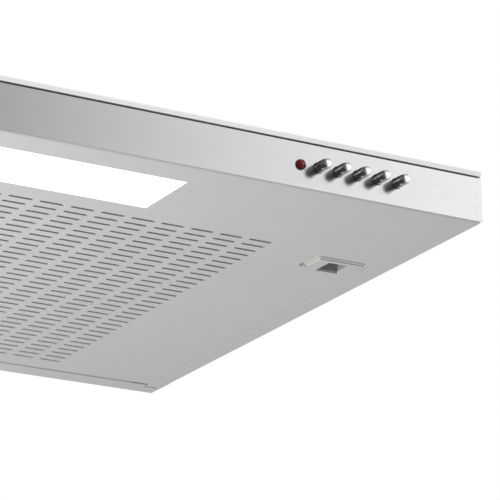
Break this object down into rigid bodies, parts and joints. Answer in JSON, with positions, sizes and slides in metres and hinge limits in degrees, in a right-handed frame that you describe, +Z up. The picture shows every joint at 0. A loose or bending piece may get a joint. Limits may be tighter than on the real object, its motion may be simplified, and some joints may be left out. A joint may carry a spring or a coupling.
{
  "type": "under cabinet range hood",
  "caption": "Slim cooker hood with a steel front bar of push buttons, a slotted swing-down grille, a lamp window, a centrifugal fan and a top outlet.",
  "frame": {"origin": "middle of the top face that rests against the cabinet's underside, on the outlet's axis and at the centre of the four cabinet screw holes", "axes": "+X to the user's right, +Y back to the wall, +Z up"},
  "size_m": [0.6, 0.5125, 0.165],
  "materials": {
    "painted": "satin silver grey paint",
    "grille_paint": "satin silver grey paint",
    "trim": "fine satin",
    "satin_steel": "smooth satin",
    "chrome": "polished",
    "spring_steel": "drawn wire",
    "zinc": "zinc plated",
    "wire": "bright wire",
    "shaft_steel": "ground",
    "lamination": "stacked laminations",
    "bronze": "sintered bush",
    "copper": "enamelled winding",
    "motor_alloy": "die cast",
    "aluminium": "rolled channel",
    "mesh_aluminium": "expanded mesh",
    "white_enamel": "white enamel",
    "white_board": "white solder mask",
    "led_phosphor": "phosphor",
    "diffuser": "opal, lit from behind, emissive",
    "neon": "clear bulb",
    "red_lens": "translucent red",
    "dark_plastic": "moulded",
    "grey_plastic": "moulded",
    "light_plastic": "moulded",
    "rubber": "moulded",
    "wire_sheath": "sleeved leads"
  },
  "bodies": {
    "casing": {"top_panel": "painted", "back_panel": "painted", "side_panel_left": "painted", "side_panel_right": "painted", "rear_rail": "painted", "front_trim": "trim", "fascia": "satin_steel", "casing_screws": "zinc", "switch_housing": "dark_plastic", "button_spring_1": "spring_steel", "button_spring_2": "spring_steel", "button_spring_3": "spring_steel", "button_spring_4": "spring_steel", "button_spring_5": "spring_steel", "pilot_lens": "red_lens", "pilot_lamp": "neon", "lamp_housing": "white_enamel", "led_board": "white_board", "led_chips": "led_phosphor", "led_driver": "dark_plastic", "latch_keepers": "spring_steel", "hinge_brackets": "zinc", "fan_housing": "dark_plastic", "fan_cover": "dark_plastic", "fan_studs": "zinc", "inlet_ring": "dark_plastic", "inlet_guard": "wire", "motor_bearings": "bronze", "stator_core": "lamination", "stator_coils": "copper", "motor_case": "motor_alloy", "motor_cap": "motor_alloy", "motor_bracket": "zinc", "rubber_mounts": "rubber", "outlet_spigot": "dark_plastic", "terminal_box": "light_plastic", "cable_gland": "dark_plastic", "wiring": "wire_sheath"},
    "grille": {"grille_panel": "grille_paint", "lamp_lens": "diffuser", "filter_frame": "aluminium", "filter_mesh": "mesh_aluminium", "filter_retainers": "spring_steel", "latch_guides": "grey_plastic", "hinge_pins": "zinc", "latch_spring_left": "spring_steel", "latch_spring_right": "spring_steel"},
    "latch_left": {"latch_slider_left": "grey_plastic"},
    "latch_right": {"latch_slider_right": "grey_plastic"},
    "fan": {"impeller": "dark_plastic", "impeller_nut": "zinc", "motor_shaft": "shaft_steel", "motor_rotor": "lamination"},
    "damper_front": {"damper_flap_front": "dark_plastic"},
    "damper_back": {"damper_flap_back": "dark_plastic"},
    "button_1": {"button_1": "chrome"},
    "button_2": {"button_2": "chrome"},
    "button_3": {"button_3": "chrome"},
    "button_4": {"button_4": "chrome"},
    "button_5": {"button_5": "chrome"}
  },
  "joints": [
    {"name": "grille_hinge", "type": "hinge", "parent": "casing", "child": "grille", "pos_m": [0, 0.1016, -0.127], "axis": [1, 0, 0], "range_deg": [0, 90], "deforming": ["latch_keepers"]},
    {"name": "latch_left_slide", "type": "slide", "parent": "grille", "child": "latch_left", "axis": [1, 0, 0], "range_m": [0, 0.005], "stiffness_N_per_m": 300, "springref_m": -0.002, "deforming": ["latch_spring_left"]},
    {"name": "latch_right_slide", "type": "slide", "parent": "grille", "child": "latch_right", "axis": [-1, 0, 0], "range_m": [0, 0.005], "stiffness_N_per_m": 300, "springref_m": -0.002, "deforming": ["latch_spring_right"]},
    {"name": "fan_spin", "type": "hinge", "parent": "casing", "child": "fan", "pos_m": [0.155, -0.02, -0.08], "axis": [0, 0, 1], "continuous": true},
    {"name": "damper_front_hinge", "type": "hinge", "parent": "casing", "child": "damper_front", "pos_m": [0, 0, 0.012], "axis": [-1, 0, 0], "range_deg": [0, 75]},
    {"name": "damper_back_hinge", "type": "hinge", "parent": "casing", "child": "damper_back", "pos_m": [0, 0, 0.012], "axis": [1, 0, 0], "range_deg": [0, 75]},
    {"name": "button_1_press", "type": "slide", "parent": "casing", "child": "button_1", "axis": [0, 1, 0], "range_m": [0, 0.003], "stiffness_N_per_m": 400, "springref_m": -0.001, "deforming": ["button_spring_1"]},
    {"name": "button_2_press", "type": "slide", "parent": "casing", "child": "button_2", "axis": [0, 1, 0], "range_m": [0, 0.003], "stiffness_N_per_m": 400, "springref_m": -0.001, "deforming": ["button_spring_2"]},
    {"name": "button_3_press", "type": "slide", "parent": "casing", "child": "button_3", "axis": [0, 1, 0], "range_m": [0, 0.003], "stiffness_N_per_m": 400, "springref_m": -0.001, "deforming": ["button_spring_3"]},
    {"name": "button_4_press", "type": "slide", "parent": "casing", "child": "button_4", "axis": [0, 1, 0], "range_m": [0, 0.003], "stiffness_N_per_m": 400, "springref_m": -0.001, "deforming": ["button_spring_4"]},
    {"name": "button_5_press", "type": "slide", "parent": "casing", "child": "button_5", "axis": [0, 1, 0], "range_m": [0, 0.003], "stiffness_N_per_m": 400, "springref_m": -0.001, "deforming": ["button_spring_5"]}
  ]
}
